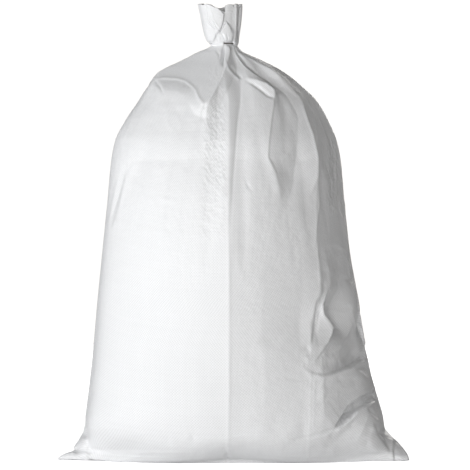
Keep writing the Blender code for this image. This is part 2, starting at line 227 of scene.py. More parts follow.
def level_at(height):
    """The row of LEVELS at any height, on a curve that doesn't overshoot."""
    rows = np.array(LEVELS)
    step = np.diff(rows[:, 0])
    slope = np.diff(rows, axis=0) / step[:, None]
    tangent = np.zeros_like(rows)
    both = slope[:-1] * slope[1:] > 0
    mean = 2 * slope[:-1] * slope[1:] / np.where(both, slope[:-1] + slope[1:], 1)
    tangent[1:-1] = np.where(both, mean, 0)
    tangent[0], tangent[-1] = slope[0], slope[-1]
    k = int(np.clip(np.searchsorted(rows[:, 0], height) - 1, 0, len(rows) - 2))
    h, t = step[k], (height - rows[k, 0]) / step[k]
    return (
        (2 * t**3 - 3 * t**2 + 1) * rows[k]
        + (t**3 - 2 * t**2 + t) * h * tangent[k]
        + (3 * t**2 - 2 * t**3) * rows[k + 1]
        + (t**3 - t**2) * h * tangent[k + 1]
    )


def soften(values):
    """Rounds the corners of a row of values a little."""
    bell = np.exp(-(np.linspace(-2, 2, 9) ** 2))
    return np.convolve(np.pad(values, 4, mode="edge"), bell / bell.sum(), mode="valid")


def at_shares(points, shares):
    """Points at given shares of the length of a line of points."""
    along = np.concatenate([[0], np.cumsum(np.linalg.norm(np.diff(points, axis=0), axis=1))])
    return np.stack([np.interp(shares * along[-1], along, points[:, k]) for k in range(3)], axis=1)


def beside(path, x, z):
    """How far places are from a path, to the left of its run if positive, and its depth there."""
    path = np.array(path)
    away, depth = np.full(x.shape, 1e9), np.zeros(x.shape)
    for (ax, az, ad), (bx, bz, bd) in zip(path, path[1:]):
        rx, rz = bx - ax, bz - az
        t = np.clip(((x - ax) * rx + (z - az) * rz) / (rx**2 + rz**2), 0, 1)
        ox, oz = x - ax - t * rx, z - az - t * rz
        d = np.hypot(ox, oz) * np.where(rx * oz - rz * ox > 0, 1, -1)
        near = np.abs(d) < np.abs(away)
        away = np.where(near, d, away)
        depth = np.where(near, ad * (1 - t) + bd * t, depth)
    return away, depth


def gathers(angle):
    """The uneven wave of the pleats round the neck, from -1 in a valley to 1 on a ridge."""
    drift = 0.5 * np.sin(angle + 0.6) + 0.3 * np.sin(2 * angle + 2.0)
    return (np.cos(PLEATS * angle + 2.2 * drift) + 0.25 * np.cos(2 * PLEATS * angle + 1.0)) / 1.25


MIDDLE_CREASE = -0.0072  # where the cloth is creased down its middle
QUARTER_CREASE = 0.1310  # and on its right, where it turns to the side
# How far the front falls back towards its sides, in shares of its depth: over a flat panel,
# over the narrow panel past the quarter crease, and in the round.
LEFT_PANEL, LEFT_ROUND = 0.20, 0.80
RIGHT_PANEL, PAST_QUARTER, RIGHT_ROUND = 0.17, 0.60, 0.50
# Low in its middle the front turns under and its foot stands a little off the floor.
UNDERCUT, UNDERCUT_X, UNDERCUT_WIDE, UNDERCUT_HIGH = 0.13, 0.012, 0.08, 0.055
FOOT_LIFT, FOOT_LIFT_WIDE, FOOT_LIFT_HIGH = 0.007, 0.075, 0.05


def fan_depth(fan, seen_x, seen_z):
    """How far a fan of fold lines presses in the places that the camera sees at x and z."""
    column, row = seen_x / PIXEL + AXIS_COLUMN, FLOOR_ROW - seen_z / PIXEL
    depth = np.zeros(column.shape)
    at = []
    for line in fan.values():
        columns, rows, depths = np.array(line).T
        at.append((np.interp(row, rows, columns), np.interp(row, rows, depths)))
    first, last = np.array(next(iter(fan.values())))[[0, -1], 1]
    for (left, left_in), (right, right_in) in zip(at, at[1:]):
        t = (column - left) / np.maximum(right - left, 1e-6)
        depth = np.where((t >= 0) & (t < 1), left_in * (1 - t) + right_in * t, depth)
    return np.where((row > first) & (row < last), depth, 0) / 1000


def creased_plan(x, left, right, front, height):
    """How far forward the front stands at x: two panels that meet at the middle crease."""
    stands = smooth_step(0.02, 0.12, height) * (1 - smooth_step(0.52, 0.62, height))
    to_left = np.clip((MIDDLE_CREASE - x) / (left + MIDDLE_CREASE), 0, 1)
    to_right = np.clip((x - MIDDLE_CREASE) / (right - MIDDLE_CREASE), 0, 1)
    corner = (QUARTER_CREASE - MIDDLE_CREASE) / (right - MIDDLE_CREASE)
    past = np.clip(to_right - corner, 0, 1)
    falls_left = LEFT_PANEL * to_left + LEFT_ROUND * (1 - np.sqrt(1 - to_left**2))
    round_right = RIGHT_ROUND * (1 - np.sqrt(1 - to_right**2))
    falls_right = RIGHT_PANEL * to_right + PAST_QUARTER * past + round_right
    in_all = max(RIGHT_PANEL + PAST_QUARTER * (1 - corner) + RIGHT_ROUND, 0.6)
    falls_right = falls_right * (0.9 + 0.1 * to_right) / in_all
    return front * (1 - np.where(x < MIDDLE_CREASE, falls_left, falls_right)), stands


def level_ring(height, folded, front_cells, back_cells):
    """One level of the sack: the front from the left side fold to the right one, then the back."""
    _, left, right, front, back, fin = level_at(height)
    near_neck = float(smooth_step(NECK_Z - PLEATS_LONG, NECK_Z, height))
    halves = []
    for sign, deep, count in ((-1, front, front_cells), (1, back, back_cells)):
        turn = np.linspace(0, math.pi, SAMPLES)
        across, out = -np.cos(turn), np.sin(turn)
        out[0] = out[-1] = 0
        x = np.where(across > 0, right, left) * across
        y = sign * deep * out ** (1 + FIN_SHARP * fin) * (1 - FIN_THIN * fin * across**2)
        if sign < 0:
            forward, stands = creased_plan(x, left, right, front, height)
            y = y * (1 - stands) - forward * stands
            tuck = UNDERCUT * np.exp(-(((x - UNDERCUT_X) / UNDERCUT_WIDE) ** 2))
            y = y * (1 - tuck * smooth_step(UNDERCUT_HIGH, 0.0, height))
        y = y - RIGHT_EAR_FORWARD * fin * smooth_step(0.6, 1.0, across)
        y = y - LEFT_EAR_FORWARD * fin * smooth_step(-0.6, -1.0, across)
        centre = NECK_X * near_neck
        size = np.hypot(x - centre, y) + 1e-9
        angle = np.arctan2(sign * out, across)
        from_right = np.abs(angle)
        off_sides = smooth_step(0.15, 0.5, math.pi - from_right) * smooth_step(0.05, 0.3, from_right)
        swell = (PLEATS_BACK if sign > 0 else PLEATS_FRONT) * off_sides * gathers(angle)
        grow = swell * near_neck * (1 - near_neck) * 4 * size
        if folded and sign < 0 and height > FOLDS_FROM:
            seen_x, seen_z = as_seen(x, y, height)
            calm = 1 - float(smooth_step(FOLDS_CALM, NECK_Z, height))
            upper = soften(fan_depth(UPPER_FAN, seen_x, seen_z)) * smooth_step(0, UPPER_FADE, -y)
            lower = soften(fan_depth(LOWER_FAN, seen_x, seen_z)) * smooth_step(0, LOWER_FADE, -y)
            y = y + (upper + lower) * calm
        k = 1 + grow / size
        x, y = centre + (x - centre) * k, y * k
        lifted = FOOT_LIFT * np.exp(-((x / FOOT_LIFT_WIDE) ** 2)) * smooth_step(0.02, 0.06, -y)
        lifted = lifted * smooth_step(FOOT_LIFT_HIGH, 0.0, height)
        line = np.stack([x, y, height + lifted], axis=1)
        halves.append(at_shares(line, np.linspace(0, 1, count + 1)))
    return np.concatenate([halves[0][:-1], halves[1][::-1][:-1]])


def across_cloth(front_cells, back_cells):
    """-1 at the left side fold to 1 at the right one, along the front and back again."""
    front = np.linspace(-1, 1, front_cells + 1)[:-1]
    return np.concatenate([front, np.linspace(1, -1, back_cells + 1)[:-1]])


def standing_cloth(front_cells, back_cells, rises):
    """The tube below the wire as a grid of points; rises are the shares of its length for the rows."""
    foot = level_ring(0.0, False, front_cells, back_cells)
    seam = np.zeros_like(foot)
    seam[:, 0] = np.interp(across_cloth(front_cells, back_cells), [-1, 1], [LEFT_EAR, RIGHT_EAR])
    seam[:, 1] = -RIGHT_EAR_FORWARD * smooth_step(EARS_FROM, RIGHT_EAR, seam[:, 0])
    seam[:, 1] -= LEFT_EAR_FORWARD * smooth_step(-EARS_FROM, LEFT_EAR, seam[:, 0])
    rings = []
    for t in np.linspace(0.004, 0.95, 17):
        ring = seam * (1 - t) + foot * t
        ring[:, 2] = SEAM_HIGH * (1 - t)
        rings.append(ring)
    low, high = np.linspace(0, 0.02, 8)[:-1], np.linspace(0.5, NECK_Z, 110)[1:]
    middle = np.linspace(0.02, 0.5, 160)
    rings += [level_ring(h, True, front_cells, back_cells) for h in (*low, *middle, *high)]
    rings = np.array(rings)
    return np.stack([at_shares(rings[:, c], rises) for c in range(rings.shape[1])], axis=1)


def tube_faces(rows, around):
    """The quads of a tube, from its lowest ring of points to its highest."""
    here = np.arange(rows * around).reshape(rows, around)
    right, up = np.roll(here, -1, axis=1), here + around
    return np.stack([here, right, right + around, up], axis=-1).reshape(-1, 4).tolist()


def seam_faces(front_cells, back_cells):
    """The sewn bottom: it joins the front's lowest row to the back's, from ear to ear."""
    around = front_cells + back_cells
    front = list(range(front_cells + 1))
    back = [0] + [around - k for k in range(1, back_cells)] + [front_cells]
    faces, i, j = [], 0, 0
    while i < front_cells or j < back_cells:
        if j == back_cells or (i < front_cells and (i + 1) * back_cells <= (j + 1) * front_cells):
            if front[i + 1] != back[j]:
                faces.append((front[i], back[j], front[i + 1]))
            i += 1
        else:
            if back[j + 1] != front[i]:
                faces.append((front[i], back[j], back[j + 1]))
            j += 1
    return faces


# How much of the fill's pressure the cloth bears at a height.
FILL_AT = [0, 0.40, 0.50, 0.58, 0.62, 0.66]
FILL_PRESSES = [1, 1, 0.9, 0.5, 0.2, 0.05]
SETTLING = 30  # frames


def relaxed(grid):
    """Lets the drawn cloth settle: filled below, slack at the shoulders, held at the neck."""
    rows, around = grid.shape[0] - 1, grid.shape[1]
    neck = list(range(rows * around, (rows + 1) * around))
    mesh = bpy.data.meshes.new("settling_cloth")
    faces = tube_faces(rows, around) + seam_faces(FRONT_TAPES, BACK_TAPES) + [neck]
    mesh.from_pydata(grid.reshape(-1, 3).tolist(), [], faces)
    cloth = bpy.data.objects.new("settling_cloth", mesh)
    bpy.context.scene.collection.objects.link(cloth)
    cloth.shape_key_add(name="standing")
    flat = cloth.shape_key_add(name="laid_flat")
    laid = np.zeros_like(grid)
    laid[:, :, 0] = across_cloth(FRONT_TAPES, BACK_TAPES) * FLAT_WIDE / 2
    laid[:, 1:FRONT_TAPES, 1] = -FLAT_THICK / 2
    laid[:, FRONT_TAPES + 1 :, 1] = FLAT_THICK / 2
    laid[:, :, 2] = np.linspace(0, FLAT_LONG - RUFF_LONG, rows + 1)[:, None]
    flat.data.foreach_set("co", laid.reshape(-1))
    held = cloth.vertex_groups.new(name="held_by_wire")
    held.add(neck, 1.0, "REPLACE")
    filled = cloth.vertex_groups.new(name="filled")
    fill = np.interp(grid[:, :, 2].reshape(-1), FILL_AT, FILL_PRESSES)
    for index, share in enumerate(fill):
        filled.add([index], float(share), "REPLACE")
    settle = cloth.modifiers.new("settle", "CLOTH")
    weave = settle.settings
    weave.quality = 6
    weave.mass = 0.3
    weave.air_damping = 4
    weave.tension_stiffness = weave.compression_stiffness = 60
    weave.tension_damping = weave.compression_damping = 15
    weave.shear_stiffness, weave.shear_damping = 20, 10
    weave.bending_stiffness, weave.bending_damping = 2.0, 1.0
    weave.use_pressure = True
    weave.uniform_pressure_force = 20
    weave.vertex_group_pressure = "filled"
    weave.vertex_group_mass = "held_by_wire"
    weave.rest_shape_key = flat
    weave.effector_weights.gravity = 0.2
    settle.collision_settings.distance_min = 0.002
    bpy.ops.mesh.primitive_plane_add(size=4)
    ground = bpy.context.object
    ground.modifiers.new("ground", "COLLISION")
    ground.collision.thickness_outer = 0.002
    settle.point_cache.frame_start, settle.point_cache.frame_end = 1, SETTLING
    for step in range(1, SETTLING + 1):
        bpy.context.scene.frame_set(step)
    at_rest = cloth.evaluated_get(bpy.context.evaluated_depsgraph_get())
    out = np.zeros(grid.size)
    at_rest.data.vertices.foreach_get("co", out)
    bpy.context.scene.frame_set(1)
    bpy.data.objects.remove(cloth)
    bpy.data.objects.remove(ground)
    return out.reshape(grid.shape)


standing = standing_cloth(FRONT_TAPES, BACK_TAPES, np.linspace(0, 1, RISE_TAPES + 1))
settled = relaxed(standing)

# The same cloth is drawn again in finer cells, closest at the shoulders, and takes over how
# far the settled cloth moved: wholly at the back and sides, in part on the taut front.
FRONT_CELLS, BACK_CELLS, RISE_CELLS = 300, 84, 330
# How closely its rows lie at shares of the way from the bottom seam up to the wire.
ROWS_AT = (0, 0.10, 0.14, 0.40, 0.50, 0.62, 0.72, 1)
ROWS_CLOSE = (0.5, 0.8, 1.3, 1.2, 0.8, 0.8, 1.15, 1.35)
FRONT_TAUT, SHOULDER_TAUT = 0.85, 0.92  # how much of that move the taut cloth is spared


def spline_read(values, at, wraps):
    """Rows of a grid read between its own rows, on a smooth curve through them."""
    count = len(values)
    low = np.floor(at).astype(int)
    t = (at - low)[:, None, None]
    pick = (lambda k: k % count) if wraps else (lambda k: np.clip(k, 0, count - 1))
    a, b, c, d = (values[pick(low + k)] for k in (-1, 0, 1, 2))
    square, cube = 2 * a - 5 * b + 4 * c - d, 3 * b - a - 3 * c + d
    return 0.5 * (2 * b + (c - a) * t + square * t**2 + cube * t**3)


share = np.linspace(0, 1, 2001)
close = np.interp((share[1:] + share[:-1]) / 2, ROWS_AT, ROWS_CLOSE)
passed = np.concatenate([[0], np.cumsum(close)])
rise = np.interp(np.linspace(0, 1, RISE_CELLS + 1), passed / passed[-1], share)
cloth = standing_cloth(FRONT_CELLS, BACK_CELLS, rise)
front = np.arange(FRONT_CELLS) * FRONT_TAPES / FRONT_CELLS
back = FRONT_TAPES + np.arange(BACK_CELLS) * BACK_TAPES / BACK_CELLS
moved = spline_read((settled - standing).transpose(1, 0, 2), np.concatenate([front, back]), True)
moved = spline_read(moved.transpose(1, 0, 2), rise * RISE_TAPES, False)
on_front = smooth_step(0.02, 0.08, -cloth[:, :, 1:2])
on_shoulder = smooth_step(-0.06, 0.02, -cloth[:, :, 1:2]) * smooth_step(0.28, 0.52, cloth[:, :, 2:])
taut = np.maximum(FRONT_TAUT * on_front, SHOULDER_TAUT * on_shoulder)
on_floor = smooth_step(0.075, 0.015, cloth[:, :, 2:])
cloth = cloth + moved * (1 - taut) * (1 - on_floor)


BAND = 0.004  # half the height of cloth that is measured at a level


def drawn_to_outline(grid):
    """Moves the cloth sideways so that each level is as wide as it should be seen."""
    seen_x, seen_z = as_seen(*np.moveaxis(grid, 2, 0))
    heights = np.concatenate([np.linspace(0.010, 0.05, 9), np.linspace(0.06, 0.660, 76)])
    rows = np.array([level_at(h) for h in heights])
    shift = {}
    for side, column in ((-1, 1), (1, 2)):
        reach = []
        for h in heights:
            band = np.abs(seen_z - h) < BAND
            reach.append((side * seen_x[band]).max())
        reach = np.convolve(np.pad(reach, 1, mode="edge"), np.ones(3) / 3, mode="valid")
        shift[side] = rows[:, column] / reach
    out = grid.copy()
    for side in (-1, 1):
        ratio = np.interp(seen_z, heights, shift[side])
        part = side * seen_x > 0
        change = np.where(part, seen_x * (ratio - 1), 0)
        out[:, :, 0] += change * (EYE_BACK + grid[:, :, 1]) / EYE_BACK
    return out


# Creases, laps and dents of the front by the fold they belong to, each with its half width in
# mm and its path in the photograph with the depth in mm. A lap is a fold lying on the cloth to
# the left of its path's run, so on a path that runs down the picture the lower cloth is on the
# right.
CREASES = {
    "the press fold down the middle": [
        ("ridge", 2.6, [(229, 236, 0), (229, 262, 1), (229, 380, 1.2), (228, 452, 1.2), (227, 458, 0.5)]),
    ],
    "the slit and the knuckle under the wire, and the creases that run down from them": [
        ("valley", 2.2, [(224, 46, 2), (223.5, 51, 6), (222.5, 56, 7), (222, 61, 6), (223, 66, 1)]),
        ("ridge", 3, [(227, 45, 1.5), (229, 50, 4), (229, 55, 3), (228, 60, 2)]),
        ("valley", 1.5, [(216, 50, 0.8), (219, 54, 1.5), (219, 58, 0.8)]),
        ("ridge", 2.2, [(226, 62, 1), (228.5, 70, 2.4), (233, 75, 2.4), (238, 79, 1.8)]),
        ("valley", 2.2, [(231, 67, 1.2), (236, 72.5, 2), (241, 77.5, 1.4)]),
        ("ridge", 2.8, [(227, 64, 1), (223, 76, 2.2), (217, 88, 2.2), (209, 102, 2)]),
    ],
    "the facet's lower edge and the tuck at its tip": [
        ("ridge", 2.4, [
            (155, 78.5, 0.8), (164, 78, 1.4), (178, 79, 1.6), (186, 81.5, 1.6), (195, 89, 1.8),
            (199, 98, 1.8), (204, 105, 1.6),
        ]),
        ("valley", 3, [(204.5, 106, 2.6), (202.5, 112, 1.6), (202, 122, 0)]),
    ],
    "the stripe's right side, where the right half laps it": [
        ("lap", 5, [
            (231, 230, 0.2), (233, 201, 0.7), (234, 177, 1), (236.5, 146, 1.2), (238, 126, 1.2),
            (241, 101, 1), (242, 90, 0.3),
        ]),
    ],
    "the finger of cloth, its upper edge and its shadow": [
        ("ridge", 4, [(247, 78, 0.5), (256, 80.5, 3), (265, 84.5, 4.5), (272, 90, 4.5), (275, 93, 2.5)]),
        ("valley", 2.4, [(247, 81, 0.8), (254, 84.5, 2.5), (260, 88.5, 3.2), (268, 95, 3), (273, 97, 1.5)]),
        ("lap", 4, [
            (240, 60, 0.5), (248, 68, 1.2), (258, 76, 2), (265, 80, 2.6), (271, 85, 2.6), (275, 92, 1.6),
        ]),
    ],
    "the edge of the light panel, the soft hollows beside it, and the ridge that bounds the side": [
        ("lap", 6, [
            (275, 94, 1.2), (274.5, 105, 1.4), (273, 115, 1.4), (270, 140, 1.4), (269, 157, 1.6),
            (273, 164, 1.2), (277, 173, 0.6), (280, 185, 0.1),
        ]),
        ("valley", 6, [(283, 96, 0.5), (285, 110, 1), (285.5, 130, 1), (286, 150, 0.8)]),
        ("valley", 10, [(286, 160, 0), (289, 170, 2.2), (291, 180, 2.2), (289, 190, 1), (287, 198, 0)]),
        ("ridge", 3, [
            (268, 67, 0.5), (283, 77, 1), (300, 95, 1.4), (305, 112, 1.4), (313, 135, 1.6), (318, 158, 1.8),
            (318.5, 175, 1.4), (312, 190, 0.5),
        ]),
    ],
    "the quarter crease of the right side, in its upper and its lower part": [
        ("ridge", 2, [(318, 176, 0.4), (319, 205, 1), (317, 222, 1), (315, 245, 0.8)]),
        ("ridge", 1.6, [
            (316.7, 240, 0.5), (318.5, 265, 0.6), (320, 288, 0.6), (314, 307, 0.7), (312, 325, 0.8),
            (311, 357, 0.8),
        ]),
        ("ridge", 1.4, [
            (311, 372, 0.8), (310.5, 400, 0.8), (310, 432, 0.8), (309, 445, 0.8), (308.5, 458, 0.9),
        ]),
        ("ridge", 1.4, [(314.5, 378, 0.5), (314, 400, 0.7), (313.5, 428, 0.5)]),
    ],
    "the elbow that it breaks into, with a tongue of cloth in the hollow beside it": [
        ("valley", 2.6, [
            (325, 293, 0.8), (318, 302, 3), (316.5, 312, 3.5), (315.7, 326, 3.5), (313.5, 338, 2),
            (312, 346, 0.5),
        ]),
        ("lap", 14, [
            (329, 290, 1), (326.5, 298, 7), (324.7, 306, 13), (325, 313, 14), (331, 322, 13),
            (334, 327, 12), (332.5, 335, 9), (329, 343, 6), (321.7, 353, 1.5),
        ]),
        ("ridge", 5, [(352, 325, 2), (347, 336, 4), (341, 345, 3), (336, 350, 1)]),
        ("ridge", 1.6, [(346, 254, 0.6), (349, 269, 1.2), (350.5, 280, 0.5)]),
        ("ridge", 1.6, [(353, 312, 0.6), (355, 322, 1.4), (359, 334, 1.4), (363, 346, 0.8)]),
    ],
    "the level crease, whose lip lies over the hollow above it": [
        ("lap", 13, [
            (304, 368, 0.4), (312, 373, 1), (322, 375.7, 3), (331, 374.5, 5), (341, 370.5, 9),
            (352, 366.4, 12), (361, 360.5, 11), (367, 357, 4),
        ]),
        ("ridge", 1.8, [
            (312, 373.4, 0.8), (322, 376, 1.6), (341, 370.8, 2), (352, 366.8, 2.4), (361, 361, 2),
        ]),
        ("valley", 8, [(343, 362, 2), (350, 357, 5), (357, 350, 5), (361, 343, 2)]),
        ("valley", 2, [(285, 378, 0.2), (298, 380, 0.9), (310, 378.5, 0.9)]),
    ],
    "the wedge under it, which falls from the fold above to under the edge of the corner's panel": [
        ("ridge", 3, [
            (376, 389, 1.6), (372, 391.4, 2), (362, 397.1, 2.2), (353.6, 403.6, 2.2), (343.6, 416.4, 1.8),
            (335, 428.6, 0.6),
        ]),
        ("lap", 13, [
            (376, 389, 4), (371, 391.8, 11), (362, 397.1, 16), (353.6, 403.6, 15), (343.6, 416.4, 9),
            (335, 428.6, 0.6),
        ]),
        ("lap", 14, [
            (335, 429.3, 1), (345, 423.3, 12), (352, 416.4, 20), (357, 410.5, 24), (366, 404.5, 20),
            (372, 401, 11), (376, 399, 3),
        ]),
        ("ridge", 1.8, [(345, 424, 1), (352, 417, 2), (357, 411.2, 2.4), (366, 405.2, 2)]),
        ("valley", 3, [(369, 408.5, 1), (372, 411, 3.5), (376, 415, 3.5), (379, 419, 1.5)]),
        ("ridge", 1.6, [(375, 416, 0.8), (379, 420, 1.6), (383, 425, 1)]),
        ("valley", 7, [(362, 412, 0.5), (352, 424, 1.8), (342, 435, 1.8), (331, 446, 0.6)]),
        ("ridge", 5, [(368, 417, 1.5), (364, 426, 1.5), (358, 440, 0.6)]),
        ("valley", 5, [(372, 420, 0.6), (370, 430, 1), (367, 445, 0.8)]),
        ("valley", 2.5, [(295, 440, 0.8), (313, 436.5, 1.2), (330, 431, 1.6), (336, 429, 1.6)]),
    ],
    "the tucks of the bottom corners": [
        ("valley", 4, [(377, 424, 1.5), (381, 433, 4), (387, 442, 4), (391, 449, 1.5)]),
        ("lap", 5, [(394, 443, 2), (393.6, 451, 5), (394, 459, 3.5)]),
        ("ridge", 5, [(398, 456, 2), (404, 459, 2)]),
        ("lap", 9, [(85, 427, 0.5), (83.5, 434, 3), (85, 443, 5), (88, 452, 5), (89, 459, 2.5)]),
        ("lap", 5, [(74, 440, 1), (76, 446, 3), (74.5, 452, 3), (71, 458, 1.5)]),
        ("ridge", 4, [(74, 453, 1), (65, 456, 2.4), (60, 458, 1.6)]),
        ("valley", 3, [(227, 451, 0.5), (227, 456, 3), (227, 462, 1)]),
    ],
    "small nicks of the left side and the shoulders": [
        ("ridge", 3, [(160, 198, 0.2), (168, 200, 0.8), (176, 201, 0.2)]),
        ("valley", 2, [(156, 82, 0.8), (160, 87, 1.2), (163, 93, 0.3)]),
        ("valley", 2.2, [(246, 180, 0.3), (248, 186, 1.4), (252, 190, 0.6)]),
    ],
}
# Corners of the flat facet of the left shoulder.
FACET = [
    (214, 46), (190, 56), (155, 76), (162, 78), (177, 78.5), (184, 80), (195, 88), (199, 97), (204, 105),
    (207, 104), (218, 83), (224, 66), (222, 54),
]
FACET_RIM = 0.003  # half the width of the edge that its plane is fitted to
FACET_BLEND = 0.020  # over which the cloth around it gives way
# Zones of shallow creases: left, top, right and bottom in the photograph, how many, and their
# lengths and depths in mm.
DRAWN = {
    "facet_side": (204, 70, 226, 106, 8, 26, 0.6),
    "beside_stripe": (202, 106, 227, 236, 16, 34, 0.5),
    "right_shoulder": (330, 140, 344, 216, 10, 24, 0.8),
    "above_elbow": (318, 246, 340, 300, 12, 22, 0.8),
    "above_level_crease": (300, 345, 345, 375, 20, 22, 1.1),
    "right_panel": (240, 190, 325, 290, 26, 40, 0.6),
    "right_front": (240, 290, 310, 440, 36, 46, 0.6),
    "left_shoulder": (100, 95, 200, 240, 30, 46, 0.5),
    "left_front": (95, 240, 226, 440, 44, 50, 0.5),
    "under_level_crease": (312, 376, 366, 410, 20, 24, 1.0),
    "right_corner": (330, 425, 395, 455, 12, 24, 0.8),
    "left_foot": (60, 425, 230, 462, 20, 30, 0.7),
    "right_foot": (232, 425, 330, 462, 16, 30, 0.7),
}
RUNS = [0.4, 1.3, 1.7, 2.3]  # how they lie, in radians from level
# Zones of fine crumples, which are left to the cloth's surface: their edges in the same order,
# and their strength. The cloth between them and at the back has a little of it too.
CRUMPLED = {
    "beside_stripe": (203, 104, 226, 186, 0.85),
    "beside_stripe_low": (200, 180, 228, 240, 0.50),
    "facet_side": (207, 64, 226, 108, 0.40),
    "right_shoulder": (328, 138, 346, 214, 0.90),
    "above_level_crease": (300, 345, 346, 376, 0.32),
    "above_elbow": (318, 246, 342, 300, 0.25),
    "right_panel": (240, 100, 328, 300, 0.16),
    "right_front": (236, 300, 312, 450, 0.22),
    "left_shoulder": (100, 90, 204, 240, 0.12),
    "left_front": (80, 240, 226, 456, 0.14),
    "low_right": (312, 376, 390, 456, 0.24),
}
CRUMPLED_BETWEEN, CRUMPLED_BEHIND, CRUMPLED_INSIDE = 0.08, 0.14, 0.1
ZONE_SIDES, ZONE_ENDS = 4, 8  # pixels each way over which a zone fades out
LAP_EDGE = 0.0013  # half the width of the step where a lap ends
LAP_LIP = 0.4  # how high the lap lies over the cloth, in shares of its depth


def grid_normals(grid):
    """Which way the cloth faces at each point of the grid."""
    around = np.roll(grid, -1, axis=1) - np.roll(grid, 1, axis=1)
    up = np.gradient(grid, axis=0)
    n = np.cross(around, up)
    return n / (np.linalg.norm(n, axis=2, keepdims=True) + 1e-12)


def creased(grid, creases):
    """Presses the creases into the cloth that faces the camera."""
    normal = grid_normals(grid)
    seen_x, seen_z = as_seen(*np.moveaxis(grid, 2, 0))
    facing = smooth_step(0.02, 0.18, -normal[:, :, 1])
    pressed = np.zeros(seen_x.shape)
    for kind, half, path in creases:
        path = np.array(from_picture(path))
        reach = half * 0.004  # four half widths, in metres
        low, high = path.min(axis=0) - reach, path.max(axis=0) + reach
        box = (seen_x > low[0]) & (seen_x < high[0]) & (seen_z > low[1]) & (seen_z < high[1])
        away, depth = beside(path, seen_x[box], seen_z[box])
        run = np.abs(away) * 1000 / half
        if kind == "lap":
            side = 0.5 + 0.5 * np.tanh(away / LAP_EDGE)
            lip = LAP_LIP * (1 - side) * np.exp(-1.5 * run)
            pressed[box] += depth * (side * np.exp(-run) - lip)
        elif kind == "ridge":
            pressed[box] -= depth * np.exp(-run)
        else:
            pressed[box] += depth * np.exp(-(run**2))
    return grid - normal * (pressed * facing)[:, :, None]


def inside_of(corners, x, z):
    """How far places lie inside a closed outline; negative outside."""
    corners = np.array([(a, b, 0) for a, b, _ in from_picture([(c, r, 0) for c, r in corners])])
    loop = np.concatenate([corners, corners[:1]])
    away = np.abs(beside(loop, x, z)[0])
    inside = np.zeros(x.shape, bool)
    for (ax, az, _), (bx, bz, _) in zip(loop, loop[1:]):
        crosses = (az > z) != (bz > z)
        inside ^= crosses & (x < (bx - ax) * (z - az) / (bz - az + 1e-12) + ax)
    return np.where(inside, away, -away)


def with_facet(grid):
    """Lays the left shoulder's facet flat, on the plane that fits its edge best."""
    seen_x, seen_z = as_seen(*np.moveaxis(grid, 2, 0))
    depth_in = inside_of(FACET, seen_x, seen_z)
    front = smooth_step(0.0, 0.02, 0.01 - grid[:, :, 1])
    edge = grid[(np.abs(depth_in) < FACET_RIM) & (front > 0.9)]
    middle = edge.mean(axis=0)
    plane = np.linalg.svd(edge - middle, full_matrices=False)[2][2]
    plane *= -np.sign(plane[1])
    off = (grid - middle) @ -plane
    share = np.clip(1 + depth_in / FACET_BLEND, 0, 1) * front
    return grid + plane * (off * share)[:, :, None]


def small_creases(random):
    """Crossing creases, scattered over the zones of DRAWN; most run up and down the sack."""
    found = []
    for left, top, right, bottom, count, length, depth in DRAWN.values():
        for _ in range(count):
            column, row = random.uniform(left, right), random.uniform(top, bottom)
            turn = random.normal(random.choice(RUNS), 0.3)
            run = length / 1.6 * random.uniform(0.5, 1.5)
            size = depth * random.uniform(0.4, 1.2)
            dc, dr = math.cos(turn) * run / 2, math.sin(turn) * run / 2
            bend = random.normal(0, run / 10)
            middle = (column + bend * math.sin(turn), row - bend * math.cos(turn), size)
            path = [(column - dc, row - dr, 0), middle, (column + dc, row + dr, 0)]
            found.append((random.choice(["ridge", "valley"]), length * random.uniform(0.16, 0.34), path))
    return found


def crumples(grid):
    """How crumpled the cloth is, from 0 to 1, at each point of the grid."""
    seen_x, seen_z = as_seen(*np.moveaxis(grid, 2, 0))
    column, row = seen_x / PIXEL + AXIS_COLUMN, FLOOR_ROW - seen_z / PIXEL
    strength = np.full(seen_x.shape, CRUMPLED_BETWEEN)
    for left, top, right, bottom, share in CRUMPLED.values():
        inside = smooth_step(left - ZONE_SIDES, left + ZONE_SIDES, column)
        inside = inside * smooth_step(right + ZONE_SIDES, right - ZONE_SIDES, column)
        inside = inside * smooth_step(top - ZONE_ENDS, top + ZONE_ENDS, row)
        inside = inside * smooth_step(bottom + ZONE_ENDS, bottom - ZONE_ENDS, row)
        strength = np.maximum(strength, share * inside)
    return np.where(grid[:, :, 1] < 0.0, strength, CRUMPLED_BEHIND)


cloth = drawn_to_outline(with_facet(cloth))
drawn_creases = [crease for group in CREASES.values() for crease in group]
cloth = creased(cloth, drawn_creases + small_creases(np.random.default_rng(7)))


# The weave: flat tapes 2.1 mm wide, one over one under, each a little lighter or darker than the next,
# the tapes that run across darkened by painted shade, with a soft plastic gloss. The pattern runs on the
# cloth's own map, in metres.
TAPE = 0.0021
TAPE_TONES = 0.03  # how much the tapes differ from each other
WEFT_PAINTED_SHADE = 0.115  # the tapes that run across are painted darker than the upright ones: painted shade for their slope to the light
CRUMPLE_SIZES = ((75.0, 0.0011), (170.0, 0.0007))  # cells to a metre and their depth


def add_node(tree, kind, values=None, **settings):
    """Adds a node to a material: its settings first, then the values of its inputs."""
    node = tree.nodes.new(kind)
    for name, value in settings.items():
        setattr(node, name, value)
    for name, value in (values or {}).items():
        node.inputs[name].default_value = value
    return node


